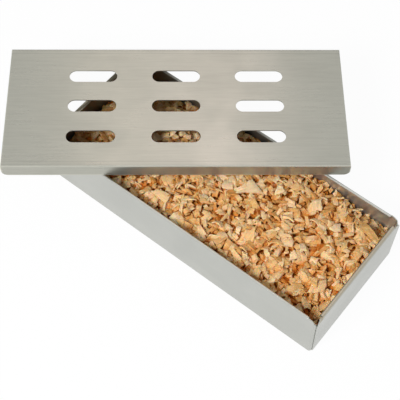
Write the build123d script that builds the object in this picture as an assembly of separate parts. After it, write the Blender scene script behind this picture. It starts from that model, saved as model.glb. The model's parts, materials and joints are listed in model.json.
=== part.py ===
from build123d import *
import math
import os
import random

# Smoker box: a folded sheet-metal tray full of wood chips, with its slotted lid
# set down askew across the rim. All sizes are millimetres, +Z is up.
# The origin is the middle of the tray's underside. X runs along the lid.

# Tray, folded from one blank
tray_length = 204.0
tray_width = 86.5
tray_height = 39.0
tray_sheet = 0.6
tray_floor_bend = 1.5         # outside radius where a wall turns up from the floor
tray_corner_bend = 2.0        # outside radius of an upright corner
hem_depth = 5.0               # how far a folded rim reaches down inside the wall
side_hem_gap = 0.6            # space between the two layers of a long wall's rim
wall_corner_radius = 6.0      # rounding of a wall's upper corners, where its folded rim stops
end_wall_setback_top = 0.3    # end wall's upright edge, in from the long wall's face
end_wall_setback_low = 2.0    # the same at the floor, as the blank narrows there
tab_length = 20.0             # corner tab, trapped inside the end wall
tab_clearance = 0.1           # between a corner tab and the end wall or floor beside it
tab_slack = 0.3               # between a corner tab and the end wall's folded layer

# Lid, folded from one blank
lid_length = 210.0
lid_width = 89.6
lid_height = 9.4
lid_sheet = 0.7
lid_bend = 0.9                # outside radius of the fold round the top
lid_flange_corner = 4.0       # rounding of a flange's lower corners
lid_corner_slit = 0.3         # open slit between two flanges at a corner
slot_length = 30.0
slot_width = 8.9
slot_columns = 3
slot_rows = 3
slot_pitch_along = 52.0
slot_pitch_across = 23.0

# Where the two pieces lie
tray_turn = -38.8             # degrees, tray against lid, seen from above
lid_shift_along = -26.7       # lid's middle from the tray's middle
lid_shift_across = 47.0
lid_seat_gap = 0.2            # between the flanges' lower edges and the rim

# Wood chips: a packed bed, and loose pieces that lie in its surface
chip_wall_gap = 0.3           # between the chips and the folded rims
chip_headroom = 5.2           # highest chip, below the rim
chip_stand_out = 1.8          # bed's level, below the highest chip
left_end_dip = 11.0           # how much lower the chips lie at the left end
left_dip_reach = 75.0         # how far from that end the surface starts to fall
far_corner_dip = 4.5          # how much lower they lie in the far right corner
near_corner_dip = 2.5         # the same in the near right corner
corner_dip_reach = 22.0
bed_cell = 6.0                # size of the lumps in the bed's surface
bed_roughness = 1.6           # how far a lump may fall
chip_spacing = 0.25           # least gap between neighbouring chips
chip_variants = 6             # different shapes of each kind of chip
chip_tilt = 26.0              # degrees that a chip may lean
flake_count = 36
flake_size = 8.4
flake_thickness = 1.0
shaving_count = 34
shaving_radius = 3.6
shaving_width = 3.4
shaving_thickness = 0.7
shaving_facets = 4
splinter_count = 42
splinter_length = 8.6
splinter_thickness = 1.5
chunk_count = 64
chunk_size = 4.6
chunk_thickness = 2.4
chip_seed = 7

# Sizes that follow from the ones above
half_length = tray_length / 2
half_width = tray_width / 2
side_hem = 2 * tray_sheet + side_hem_gap
end_hem_gap = tab_clearance + tray_sheet + tab_slack
end_hem = 2 * tray_sheet + end_hem_gap
tab_face = half_length - tray_sheet - tab_clearance
tab_top = tray_height - end_hem / 2
tab_bottom = tray_sheet + tab_clearance
corner_x = tab_face - tray_corner_bend
corner_y = half_width - tray_corner_bend
end_wall_half = half_width - end_wall_setback_top
end_wall_half_low = half_width - end_wall_setback_low
side_hem_half = tab_face - wall_corner_radius
end_hem_half = end_wall_half - wall_corner_radius
fill_x = half_length - end_hem - chip_wall_gap
fill_y = half_width - side_hem - chip_wall_gap
chip_top = tray_height - chip_headroom
lid_z = tray_height + lid_seat_gap

centred_up = (Align.CENTER, Align.CENTER, Align.MIN)
along_x = Plane(origin=(0, 0, 0), x_dir=(0, 1, 0), z_dir=(1, 0, 0))
along_y = Plane(origin=(0, 0, 0), x_dir=(1, 0, 0), z_dir=(0, -1, 0))


def wall_section(half_span, hem_gap, floor_from):
    """Section through the floor and one wall: u runs outwards and v upwards.

    With a hem gap the rim is folded over inwards, and without one it is cut square.
    """
    middle = tray_sheet / 2
    wall = half_span - middle
    bend = tray_floor_bend - middle
    lines = [
        Line((floor_from, middle), (wall - bend, middle)),
        CenterArc((wall - bend, middle + bend), bend, -90, 90),
    ]
    if hem_gap is None:
        lines.append(Line((wall, middle + bend), (wall, tray_height)))
    else:
        fold = (hem_gap + tray_sheet) / 2
        fold_z = tray_height - fold - middle
        flap = wall - 2 * fold
        lines.append(Line((wall, middle + bend), (wall, fold_z)))
        lines.append(CenterArc((wall - fold, fold_z), fold, 0, 180))
        lines.append(Line((flap, fold_z), (flap, tray_height - hem_depth)))
    return trace(lines, tray_sheet)


def rounded_outline(half_span, half_span_low, top, plane):
    """Block that gives a wall its upright edges and round upper corners when cut to it."""
    corners = [(-half_span_low, 0), (half_span_low, 0), (half_span, top), (-half_span, top)]
    outline = make_face(Polyline(*corners, close=True))
    upper = outline.vertices().sort_by(Axis.Y)[-2:]
    return extrude(plane * fillet(upper, wall_corner_radius), tray_length, both=True)


def hemmed_wall(plane, section_sizes, hem_half, wall_half, outline):
    """One wall with its strip of floor: a folded rim, and single sheet beyond its ends."""
    half_span, hem_gap, floor_from = section_sizes
    hemmed = extrude(plane * wall_section(half_span, hem_gap, floor_from), hem_half, both=True)
    single = extrude(plane * wall_section(half_span, None, floor_from), wall_half, both=True)
    single -= extrude(plane * Rectangle(3 * tray_length, 3 * tray_height), hem_half, both=True)
    return hemmed + (single & outline)


def corner_tab():
    """The far right upright corner: the long wall turns and goes on inside the end wall."""
    ring = Circle(tray_corner_bend) - Circle(tray_corner_bend - tray_sheet)
    quarter = ring & Rectangle(tray_corner_bend, tray_corner_bend, align=Align.MIN)
    bend = Pos(corner_x, corner_y, tab_bottom) * extrude(quarter, tray_height - tab_bottom)
    bend &= rounded_outline(tab_face, tab_face, tray_height, along_y)
    tab = Pos(tab_face, corner_y, tab_bottom) * Box(
        tray_sheet, tab_length, tab_top - tab_bottom, align=(Align.MAX, Align.MAX, Align.MIN)
    )
    tab_edge = corner_y + tab_clearance
    tab &= rounded_outline(tab_edge, tab_edge, tab_top, along_x)
    envelope = extrude(RectangleRounded(2 * tab_face, tray_width, tray_corner_bend), tray_height)
    lower = envelope.edges().group_by(Axis.Z)[0]
    return (bend + tab) & fillet(lower, min(tray_floor_bend, 0.9 * tray_corner_bend))


def make_tray():
    """Floor, four walls with folded rims, and the four corner tabs, as one sheet."""
    side = hemmed_wall(
        along_x, (half_width, side_hem_gap, 0), side_hem_half, corner_x,
        rounded_outline(tab_face, tab_face, tray_height, along_y),
    )
    end = hemmed_wall(
        along_y, (half_length, end_hem_gap, corner_x), end_hem_half, end_wall_half,
        rounded_outline(end_wall_half, end_wall_half_low, tray_height, along_x),
    )
    tab = corner_tab()
    right = end + tab + mirror(tab, Plane.XZ)
    return side + mirror(side, Plane.XZ) + right + mirror(right, Plane.YZ)


def flange_corner_cuts():
    """What is cut away at the lid's far right corner: a slit and two rounded corners."""
    spandrel = Rectangle(lid_flange_corner, lid_flange_corner, align=(Align.MAX, Align.MIN))
    spandrel -= Pos(-lid_flange_corner, lid_flange_corner) * Circle(lid_flange_corner)
    corner_x_lid = lid_length / 2
    flange_face = lid_width / 2 - lid_sheet
    side_end = flange_face - lid_corner_slit
    slit = Pos(corner_x_lid, side_end, 0) * Box(
        2 * lid_sheet, lid_corner_slit, lid_height - lid_bend, align=(Align.CENTER, Align.MIN, Align.MIN)
    )
    front = Pos(corner_x_lid, flange_face + lid_sheet, 0) * extrude(along_y * spandrel, lid_sheet)
    side = Pos(corner_x_lid - lid_sheet, side_end, 0) * extrude(along_x * spandrel, lid_sheet)
    return slit + front + side


def make_lid():
    """Slotted top with a flange folded down on each side, open side down."""
    body = Box(lid_length, lid_width, lid_height, align=centred_up)
    body = fillet(body.faces().sort_by(Axis.Z)[-1].edges(), lid_bend)
    hollow = Box(
        lid_length - 2 * lid_sheet, lid_width - 2 * lid_sheet, lid_height - lid_sheet, align=centred_up
    )
    inner_bend = max(lid_bend - lid_sheet, lid_sheet / 8)
    hollow = fillet(hollow.faces().sort_by(Axis.Z)[-1].edges(), inner_bend)
    slot_grid = GridLocations(slot_pitch_along, slot_pitch_across, slot_columns, slot_rows)
    slots = Sketch() + [place * SlotOverall(slot_length, slot_width) for place in slot_grid]
    cuts = flange_corner_cuts()
    cuts += mirror(cuts, Plane.XZ)
    cuts += mirror(cuts, Plane.YZ)
    return body - hollow - extrude(slots, lid_height) - cuts


def heap_height(x, y):
    """Level of the packed bed: nearly flat, lower at the left end and in the right corners."""
    fallen = min(max((left_dip_reach - fill_x - x) / left_dip_reach, 0), 1)
    left = left_end_dip * fallen * fallen * (3 - 2 * fallen)
    far = math.hypot(x - fill_x, y - fill_y) / corner_dip_reach
    near = math.hypot(x - fill_x, y + fill_y) / corner_dip_reach
    right = far_corner_dip * math.exp(-far * far) + near_corner_dip * math.exp(-near * near)
    return chip_top - chip_stand_out - left - right


def packed_bed(rng):
    """The chips below the surface as one block, with a lumpy top of small facets."""
    columns = max(2, round(2 * fill_x / bed_cell))
    rows = max(2, round(2 * fill_y / bed_cell))
    top = []
    for row in range(rows + 1):
        y = fill_y * (2 * row / rows - 1)
        line = []
        for column in range(columns + 1):
            x = fill_x * (2 * column / columns - 1)
            lump = rng.uniform(-bed_roughness, 0)
            line.append(Vector(x, y, heap_height(x, y) + lump))
        top.append(line)
    faces = []
    for low, high in zip(top, top[1:]):
        for column in range(columns):
            a, b = low[column], low[column + 1]
            d, c = high[column], high[column + 1]
            faces.append(flat_face([a, b, c]))
            faces.append(flat_face([a, c, d]))
    left = [line[0] for line in top]
    right = [line[-1] for line in top]
    for rim in (top[0], top[-1], left, right):
        faces.append(flat_face(rim + [on_floor(rim[-1]), on_floor(rim[0])]))
    corners = [top[0][0], top[0][-1], top[-1][-1], top[-1][0]]
    faces.append(flat_face([on_floor(corner) for corner in corners]))
    return Part() + Solid(Shell(faces))


def flat_face(points):
    """Face with straight edges through the points given."""
    return Face(Wire.make_polygon(points, close=True))


def on_floor(point):
    """The point straight below, on the tray's floor."""
    return Vector(point.X, point.Y, tray_sheet)


def uneven_corners(rng, count, size):
    """Corners of an uneven flat shape that fits in a circle of the size given."""
    corners = []
    for index in range(count):
        angle = math.radians((index + rng.uniform(-0.25, 0.25)) * 360 / count)
        reach = size / 2 * rng.uniform(0.7, 1)
        corners.append((reach * math.cos(angle), reach * math.sin(angle)))
    return corners


def slab(corners, thickness):
    """Flat piece with the corners given, its middle layer at height zero."""
    outline = make_face(Polyline(*corners, close=True))
    return Pos(0, 0, -thickness / 2) * extrude(outline, thickness)


def flake(rng):
    """Thin flat flake with five corners."""
    return slab(uneven_corners(rng, 5, flake_size), flake_thickness)


def chunk(rng):
    """Thick blunt piece with four corners."""
    return slab(uneven_corners(rng, 4, chunk_size), chunk_thickness)


def splinter(rng):
    """Tapered stick."""
    half = splinter_length / 2 * rng.uniform(0.8, 1)
    thick = splinter_thickness / 2
    thin = thick * rng.uniform(0.3, 0.6)
    corners = [(-half, -thick), (half, -thin), (half, thin), (-half, thick)]
    return slab(corners, splinter_thickness)


def shaving(rng):
    """Curled strip: an arch of flat facets with both feet in the bed."""
    turn = math.radians(rng.uniform(110, 165))
    radius = shaving_radius * rng.uniform(0.8, 1)
    outer = []
    inner = []
    for index in range(shaving_facets + 1):
        angle = math.pi / 2 + turn * (index / shaving_facets - 0.5)
        direction = Vector(math.cos(angle), math.sin(angle))
        outer.append(direction * radius)
        inner.append(direction * (radius - shaving_thickness))
    outline = make_face(Polyline(*outer, *reversed(inner), close=True))
    return Pos(0, 0, -0.7 * radius) * extrude(along_y * outline, shaving_width / 2, both=True)


def free_places(rng, count, reach, taken):
    """Random places on the bed for chips of one kind, clear of the wall and of each other."""
    places = []
    for attempt in range(60 * count):
        x = rng.uniform(reach - fill_x, fill_x - reach)
        y = rng.uniform(reach - fill_y, fill_y - reach)
        if all(math.hypot(x - u, y - v) > reach + r + chip_spacing for u, v, r in taken):
            taken.append((x, y, reach))
            places.append((x, y))
        if len(places) == count:
            break
    return places


def loose_chips(rng):
    """Loose chips of four kinds, set half into the bed and clear of each other."""
    kinds = (
        ("flakes", flake, flake_count, flake_size / 2),
        ("shavings", shaving, shaving_count, math.hypot(shaving_radius, shaving_width / 2)),
        ("splinters", splinter, splinter_count, math.hypot(splinter_length, splinter_thickness) / 2),
        ("chunks", chunk, chunk_count, math.hypot(chunk_size, chunk_thickness) / 2),
    )
    taken = []
    groups = {}
    for name, make, count, reach in kinds:
        shapes = [make(rng) for variant in range(chip_variants)]
        pieces = []
        for x, y in free_places(rng, count, reach, taken):
            turn = Rot(0, 0, rng.uniform(0, 360)) * Rot(rng.uniform(-chip_tilt, chip_tilt), 0, 0)
            piece = Pos(x, y, heap_height(x, y)) * turn * rng.choice(shapes)
            over = piece.bounding_box().max.Z - chip_top
            pieces.append(Pos(0, 0, -max(over, 0)) * piece)
        groups[name] = pieces
    return groups


def main():
    """Build each piece in the tray's own frame, turn or lift it into place and save it."""
    rng = random.Random(chip_seed)
    tray_place = Rot(0, 0, tray_turn)
    lid_place = Pos(lid_shift_along, lid_shift_across, lid_z)
    bed = packed_bed(rng)
    groups = loose_chips(rng)
    bed -= [piece for pieces in groups.values() for piece in pieces]
    parts = {
        "tray": tray_place * make_tray(),
        "lid": lid_place * make_lid(),
        "chip_bed": tray_place * bed,
    }
    for name, pieces in groups.items():
        parts[name] = Compound([tray_place * piece.solid() for piece in pieces])
    os.makedirs("parts", exist_ok=True)
    for name, part in parts.items():
        export_step(part, f"parts/{name}.step")
        print(name, len(part.solids()), "solids", round(part.volume), "mm3")


main()
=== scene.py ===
"""Looks of the smoker box: a brushed steel tray, its slotted lid, and the wood chips in the tray.

Lengths are metres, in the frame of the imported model: +Z up, X along the lid's long side.
The tray's own axes are turned against that frame by TRAY_TURN about the origin.
"""

import json
import logging
import math
import random
from dataclasses import dataclass
from enum import Enum
from functools import cache
from typing import Any, Sequence

import bmesh
import bpy
from mathutils import Matrix, Vector, noise

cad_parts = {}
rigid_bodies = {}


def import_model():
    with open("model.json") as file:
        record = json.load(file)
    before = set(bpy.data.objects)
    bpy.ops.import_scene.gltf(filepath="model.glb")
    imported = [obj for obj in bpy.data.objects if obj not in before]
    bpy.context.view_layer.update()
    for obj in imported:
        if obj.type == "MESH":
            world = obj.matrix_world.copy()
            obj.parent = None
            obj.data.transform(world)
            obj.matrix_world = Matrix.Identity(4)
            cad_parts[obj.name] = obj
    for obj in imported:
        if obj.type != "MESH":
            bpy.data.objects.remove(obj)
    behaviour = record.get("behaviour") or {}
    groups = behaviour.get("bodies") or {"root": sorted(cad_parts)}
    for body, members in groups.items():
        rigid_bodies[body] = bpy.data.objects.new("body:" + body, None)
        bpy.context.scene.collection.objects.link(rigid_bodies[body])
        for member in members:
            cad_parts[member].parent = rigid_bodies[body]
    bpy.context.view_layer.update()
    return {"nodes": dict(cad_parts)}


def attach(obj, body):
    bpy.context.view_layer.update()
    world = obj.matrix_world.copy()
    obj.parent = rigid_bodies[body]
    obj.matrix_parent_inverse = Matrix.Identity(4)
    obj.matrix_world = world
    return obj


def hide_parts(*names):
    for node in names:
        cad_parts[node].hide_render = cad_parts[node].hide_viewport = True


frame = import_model()

MM = 0.001
TRAY_TURN = math.radians(-38.8)
ORIGIN = (0.0, 0.0, 0.0)
WHITE = (1.0, 1.0, 1.0)

Pair = tuple[float, float]
Triple = tuple[float, float, float]
Material = bpy.types.Material
Mesh = bpy.types.Mesh
Object = bpy.types.Object
Socket = bpy.types.NodeSocket
Tree = bpy.types.NodeTree

log = logging.getLogger("smoker_box")


class Graph:
    """Adds nodes to a node tree and feeds their inputs."""

    def __init__(self, tree: Tree) -> None:
        """Start on an empty tree.

        Args:
            tree: the node tree to fill.
        """
        self.tree = tree

    def add(self, kind: str, inputs: dict[Any, Any] | None = None, **settings: Any) -> bpy.types.Node:
        """Add one node.

        Args:
            kind: the node's type, such as ShaderNodeMath.
            inputs: a value or an output socket for each input, by name or number.
            settings: the node's own properties.

        Returns:
            The new node.
        """
        node = self.tree.nodes.new(kind)
        for name, value in settings.items():
            setattr(node, name, value)
        self.feed(node.inputs, inputs or {})
        return node

    def feed(self, sockets: Any, values: dict[Any, Any]) -> None:
        """Link an output to each input socket, or set the socket's own value.

        Args:
            sockets: a node's inputs.
            values: an output socket or a plain value for each, by name or number.
        """
        for name, value in values.items():
            if isinstance(value, Socket):
                self.tree.links.new(value, sockets[name])
            else:
                sockets[name].default_value = value

    def math(self, operation: str, *values: Any, clamp: bool = False) -> Socket:
        """Output of a Math node on one, two or three numbers."""
        inputs = dict(enumerate(values))
        return self.add("ShaderNodeMath", inputs, operation=operation, use_clamp=clamp).outputs[0]

    def times(self, first: Any, second: Any) -> Socket:
        """Product of two numbers."""
        return self.math("MULTIPLY", first, second)

    def vector_math(self, operation: str, *values: Any, result: str = "Vector") -> Socket:
        """Output of a Vector Math node, a vector unless the result named is Value."""
        inputs = dict(enumerate(values))
        return self.add("ShaderNodeVectorMath", inputs, operation=operation).outputs[result]

    def scaled(self, vector: Any, factors: Any) -> Socket:
        """Vector or colour multiplied by another, part by part."""
        return self.vector_math("MULTIPLY", vector, factors)

    def turned(self, vector: Any, angle: float) -> Socket:
        """Vector turned about Z."""
        inputs = {"Vector": vector, "Angle": angle}
        return self.add("ShaderNodeVectorRotate", inputs, rotation_type="Z_AXIS").outputs[0]

    def parts(self, vector: Any) -> list[Socket]:
        """The three numbers of a vector."""
        return list(self.add("ShaderNodeSeparateXYZ", {0: vector}).outputs)

    def vector(self, *numbers: Any) -> Socket:
        """Vector made of three numbers."""
        return self.add("ShaderNodeCombineXYZ", dict(enumerate(numbers))).outputs[0]

    def grey(self, level: Any) -> Socket:
        """Colour that is equally bright in red, green and blue."""
        return self.vector(level, level, level)

    def ramp(self, value: Any, low: Any = 0.0, high: Any = 1.0, start: Any = 0.0, end: Any = 1.0) -> Socket:
        """Value that goes smoothly from start to end while the given one goes from low to high."""
        inputs = {"Value": value, 1: low, 2: high, 3: start, 4: end}
        return self.add("ShaderNodeMapRange", inputs, interpolation_type="SMOOTHSTEP").outputs["Result"]

    def blend_colours(self, share: Any, first: Triple, second: Triple) -> Socket:
        """Colour mixed from two colours, with the second one's share from 0 to 1."""
        inputs = {0: share, 6: (*first, 1), 7: (*second, 1)}
        return self.add("ShaderNodeMix", inputs, data_type="RGBA").outputs[2]

    def mottle(self, vector: Any, scale: Any, **more: float) -> Socket:
        """Soft random pattern whose spots measure one over the scale."""
        names = {name.capitalize(): value for name, value in more.items()}
        return self.add("ShaderNodeTexNoise", {"Vector": vector, "Scale": scale, **names}).outputs[0]

    def use(self, group: Tree, inputs: dict[str, Any]) -> Any:
        """Outputs of a shared group, placed here with its own inputs."""
        return self.add("ShaderNodeGroup", inputs, node_tree=group).outputs


def new_group(name: str, inputs: dict[str, Any], outputs: Sequence[str]) -> tuple[Graph, Any, Any]:
    """Make an empty shader node group.

    Args:
        name: the group's name.
        inputs: default of each input, a vector or a number.
        outputs: names of the outputs, which are numbers.

    Returns:
        The group's graph, the sockets that give its inputs and those that take its outputs.
    """
    tree = bpy.data.node_groups.new(name, "ShaderNodeTree")
    for label, default in inputs.items():
        kind = "NodeSocketVector" if isinstance(default, tuple) else "NodeSocketFloat"
        tree.interface.new_socket(label, in_out="INPUT", socket_type=kind).default_value = default
    for label in outputs:
        tree.interface.new_socket(label, in_out="OUTPUT", socket_type="NodeSocketFloat")
    graph = Graph(tree)
    return graph, graph.add("NodeGroupInput").outputs, graph.add("NodeGroupOutput").inputs


@cache
def brushed_lines() -> Tree:
    """Fine lines that a brushing belt leaves, along one direction of the sheet.

    Returns:
        The node group. Spread holds one over the size of a line along each axis.
    """
    inputs = {"Vector": ORIGIN, "Spread": (50.0, 2000.0, 2000.0)}
    graph, given, result = new_group("brushed_lines", inputs, ["Lines"])
    coarser = (0.35, 0.22, 0.22)
    coarse_share = 0.3
    stretched = graph.scaled(given["Vector"], given["Spread"])
    fine = graph.mottle(stretched, 1.0, detail=3.0, roughness=0.65)
    coarse = graph.mottle(graph.scaled(stretched, coarser), 1.0, detail=1.0)
    both = graph.math("MULTIPLY_ADD", coarse, coarse_share, graph.times(fine, 1 - coarse_share))
    graph.feed(result, {"Lines": graph.ramp(both, low=0.33, high=0.67)})
    return graph.tree


@cache
def fold_polish() -> Tree:
    """Mask of the folds and corners of a box-shaped piece, where a highlight is painted on the steel.

    Returns:
        The node group. Its mask is 1 on a fold and 0 on the flat sheet.
    """
    inputs = {"Vector": ORIGIN, "Middle": ORIGIN, "Half Size": (0.1, 0.05, 0.02), "Width": 0.001}
    graph, given, result = new_group("fold_polish", inputs, ["Mask"])
    away = graph.vector_math("SUBTRACT", given["Vector"], given["Middle"])
    inside = graph.vector_math("SUBTRACT", given["Half Size"], graph.vector_math("ABSOLUTE", away))
    near = [graph.ramp(part, 0.0, given["Width"], 1.0, 0.0) for part in graph.parts(inside)]
    total = graph.math("ADD", graph.math("ADD", near[0], near[1]), near[2])
    graph.feed(result, {"Mask": graph.math("SUBTRACT", total, 1.0, clamp=True)})
    return graph.tree


@cache
def smudges() -> Tree:
    """Soft uneven marks that hands and packing leave on a metal sheet.

    Returns:
        The node group. Its marks go from 0 to 1.
    """
    graph, given, result = new_group("smudges", {"Vector": ORIGIN, "Size": 0.03}, ["Marks"])
    scale = graph.math("DIVIDE", 1.0, given["Size"])
    soft = graph.mottle(given["Vector"], scale, detail=3.0, distortion=0.4)
    graph.feed(result, {"Marks": graph.ramp(soft, low=0.35, high=0.7)})
    return graph.tree


@cache
def wood_grain() -> Tree:
    """Pale and dark fibres of split wood, along the X axis of the vector given.

    Returns:
        The node group. Fibre is the size of one fibre across.
    """
    inputs = {"Vector": ORIGIN, "Fibre": 0.0005}
    graph, given, result = new_group("wood_grain", inputs, ["Fibres", "Rings"])
    lengthwise = (0.12, 1.0, 1.0)
    fibres_in_ring = 4
    scale = graph.math("DIVIDE", 1.0, given["Fibre"])
    along = graph.scaled(given["Vector"], lengthwise)
    fibres = graph.mottle(along, scale, detail=3.0, roughness=0.6)
    rings = graph.mottle(along, graph.times(scale, 1 / fibres_in_ring), detail=1.0)
    graph.feed(result, {"Fibres": graph.ramp(fibres, low=0.3, high=0.7)})
    graph.feed(result, {"Rings": graph.ramp(rings, low=0.38, high=0.62)})
    return graph.tree


def blank_graph(owner: Material | bpy.types.World) -> Graph:
    """Graph of a new material or world, without nodes."""
    owner.use_nodes = True
    owner.node_tree.nodes.clear()
    return Graph(owner.node_tree)


def new_material(name: str) -> tuple[Material, Graph, bpy.types.Node]:
    """Make a material with nothing but its shader.

    Args:
        name: the material's name.

    Returns:
        The material, its graph and its Principled BSDF.
    """
    material = bpy.data.materials.new(name)
    graph = blank_graph(material)
    shader = graph.add("ShaderNodeBsdfPrincipled")
    graph.add("ShaderNodeOutputMaterial", {"Surface": shader.outputs[0]})
    return material, graph, shader


def put_in_scene(name: str, data: Any) -> Object:
    """Add an object at the origin, unturned."""
    added = bpy.data.objects.new(name, data)
    bpy.context.scene.collection.objects.link(added)
    return added


@dataclass(frozen=True)
class SteelFinish:
    """Stainless steel sheet: its colour, its brushing, the marks on it, and light, shade and reflections
    painted into its colour.

    A tilt is how far a face looks along an axis, from 0 to 1. A facing is 1 for the outer side of a
    wall and -1 for its inner side. A core is the share of a width over which a mark has full strength.
    """

    name: str
    colour: Triple
    smudge_colour: Triple
    line_length: float
    line_width: float
    line_contrast: float
    roughness: float
    metallic: float
    anisotropy: float = 0.0
    roughness_spread: float = 0.05
    bump_strength: float = 0.12
    bump_height: float = 0.02 * MM
    end_face_tilt: float = 0.7
    # Painted highlight along the folds and corners.
    polish_width: float = 1.2 * MM
    polish_gain: float = 1.0
    # Painted light: faces that don't look up, such as the flanges, are made lighter.
    flange_tilt: Pair = (0.1, 0.6)
    flange_gain: float = 1.0
    press_marks: tuple[Pair, ...] = ()
    press_mark_width: float = 0.5 * MM
    press_mark_core: float = 0.2
    # Painted reflection on the rims: a darker, warmer tint near the top of the walls.
    rim_height: float = 0.0
    rim_core: float = 0.7
    rim_width: float = 3.1 * MM
    front_rim_tint: Triple = WHITE
    front_rim_facing: Pair = (-0.9, 0.7)
    end_rim_tint: Triple = WHITE
    end_rim_facing: Pair = (0.3, 0.9)
    # Painted shade on the walls' inner sides, lighter toward the other end and in the corners.
    inner_facing: float = -0.9
    inner_gain: Pair = (1.0, 1.0)
    inner_span: Pair = (-20.0 * MM, 60.0 * MM)
    corner_gain: float = 1.25
    corner_reach: float = 8.0 * MM
    corner_core: float = 0.8


class SteelCoat:
    """Material of one box-shaped piece of sheet steel, laid out in the piece's own axes."""

    def __init__(self, finish: SteelFinish, low: Vector, high: Vector, turn: float) -> None:
        """Build the material.

        Args:
            finish: the steel's colour, brushing and marks.
            low: lowest corner of the piece, in its own axes.
            high: highest corner of the piece.
            turn: angle of its own axes about Z.
        """
        self.finish = finish
        self.middle = (low + high) / 2
        self.half_size = (high - low) / 2
        self.corner = self.middle + self.half_size
        self.material, self.graph, shader = new_material(finish.name)
        graph = self.graph
        self.own = graph.turned(graph.add("ShaderNodeTexCoord").outputs["Object"], -turn)
        self.normal = graph.turned(graph.add("ShaderNodeNewGeometry").outputs["True Normal"], -turn)
        self.place = graph.parts(self.own)
        lines = self._lines()
        marks = graph.use(smudges(), {"Vector": self.own})[0]
        rough = graph.math("MULTIPLY_ADD", marks, finish.roughness_spread, finish.roughness)
        bump = {"Strength": finish.bump_strength, "Distance": finish.bump_height, "Height": lines}
        surface = {
            "Base Color": self._colour(lines, marks),
            "Roughness": graph.math("MULTIPLY_ADD", lines, finish.roughness_spread / 2, rough),
            "Normal": graph.add("ShaderNodeBump", bump).outputs[0],
            "Metallic": finish.metallic,
            "Anisotropic": finish.anisotropy,
        }
        if finish.anisotropy:
            surface["Tangent"] = graph.vector(0.0, 1.0, 1.0)
        graph.feed(shader.inputs, surface)

    def _lines(self) -> Socket:
        """Brushed lines.

        Returns:
            The lines, which run along the length of each face, and down the end faces.
        """
        graph = self.graph
        sideways = graph.math("ABSOLUTE", graph.parts(self.normal)[0])
        end_face = graph.math("GREATER_THAN", sideways, self.finish.end_face_tilt)
        long_way = 1 / self.finish.line_length
        fine_way = 1 / self.finish.line_width
        spreads = {4: (long_way, fine_way, fine_way), 5: (fine_way, fine_way, long_way)}
        spread = graph.add("ShaderNodeMix", {0: end_face, **spreads}, data_type="VECTOR").outputs[1]
        return graph.use(brushed_lines(), {"Vector": self.own, "Spread": spread})[0]

    def _colour(self, lines: Socket, marks: Socket) -> Socket:
        """Colour of the sheet.

        Args:
            lines: the brushed lines.
            marks: the smudges.

        Returns:
            The colour with the lines, smudges, press marks, painted highlight on the folds and painted
            light on the flanges, and painted reflection on the rims and painted shade on the inner sides if
            any.
        """
        finish, graph = self.finish, self.graph
        contrast = finish.line_contrast
        box = {"Middle": self.middle, "Half Size": self.half_size, "Width": finish.polish_width}
        fold_glint = graph.use(fold_polish(), {"Vector": self.own, **box})[0]
        gain = graph.ramp(lines, start=1 - contrast, end=1 + contrast)
        # Painted highlight along the folds.
        gain = graph.times(gain, graph.ramp(fold_glint, start=1.0, end=finish.polish_gain))
        # Painted light on faces that don't look up, such as the flanges.
        upward = graph.math("ABSOLUTE", graph.parts(self.normal)[2])
        gain = graph.times(gain, graph.ramp(upward, *finish.flange_tilt, finish.flange_gain, 1.0))
        for inset, strength in finish.press_marks:
            gain = graph.times(gain, self._press_mark(inset, strength))
        colour = graph.blend_colours(marks, finish.colour, finish.smudge_colour)
        colour = graph.scaled(colour, graph.grey(gain))
        if not finish.rim_height:
            return colour
        # Painted reflection on the rims, then painted shade on the walls' inner sides.
        outward = graph.scaled(graph.vector_math("SIGN", self.own), (1.0, 1.0, 0.0))
        facing = graph.vector_math("DOT_PRODUCT", outward, self.normal, result="Value")
        colour = graph.scaled(colour, self._rim_tint(facing))
        return graph.scaled(colour, graph.grey(self._inner_sides(facing)))

    def _press_mark(self, inset: float, strength: float) -> Socket:
        """Line beside each long fold, where the bending tool pressed on the sheet.

        Args:
            inset: how far the line lies from the piece's long sides.
            strength: how much brighter it is, or darker if negative.

        Returns:
            The brightness of the line.
        """
        finish, graph = self.finish, self.graph
        across = graph.math("ABSOLUTE", graph.math("SUBTRACT", self.place[1], self.middle.y))
        off = graph.math("ABSOLUTE", graph.math("SUBTRACT", across, self.half_size.y - inset))
        width = finish.press_mark_width
        return graph.ramp(off, finish.press_mark_core * width, width, 1 + strength, 1.0)

    def _rim_tint(self, facing: Socket) -> Socket:
        """Painted reflection of the chips and of the darker surroundings on the folded rims, as a darker,
        warmer tint.

        Args:
            facing: how far a wall's face looks outwards.

        Returns:
            The tint, which is white away from the rims.
        """
        finish, graph = self.finish, self.graph
        down = graph.math("SUBTRACT", self.corner.z, self.place[2])
        near_top = graph.ramp(down, finish.rim_core * finish.rim_height, finish.rim_height, 1.0, 0.0)
        along = graph.math("ABSOLUTE", self.place[0])
        at_end = graph.math("GREATER_THAN", along, self.corner.x - finish.rim_width)
        in_front = graph.math("LESS_THAN", self.place[1], finish.rim_width - self.corner.y)
        tints = []
        for there, facings, tint in (
            (at_end, finish.end_rim_facing, finish.end_rim_tint),
            (in_front, finish.front_rim_facing, finish.front_rim_tint),
        ):
            share = graph.times(there, graph.ramp(facing, *facings, 1.0, 0.0))
            tints.append(graph.blend_colours(graph.times(share, near_top), WHITE, tint))
        return graph.scaled(*tints)

    def _inner_sides(self, facing: Socket) -> Socket:
        """Painted shade on the walls' inner sides, darkest at the end under the lid, and painted light
        toward the other end.

        Args:
            facing: how far a wall's face looks outwards.

        Returns:
            The brightness, which is higher in the corners, and 1 on every other face.
        """
        finish, graph = self.finish, self.graph
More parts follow.
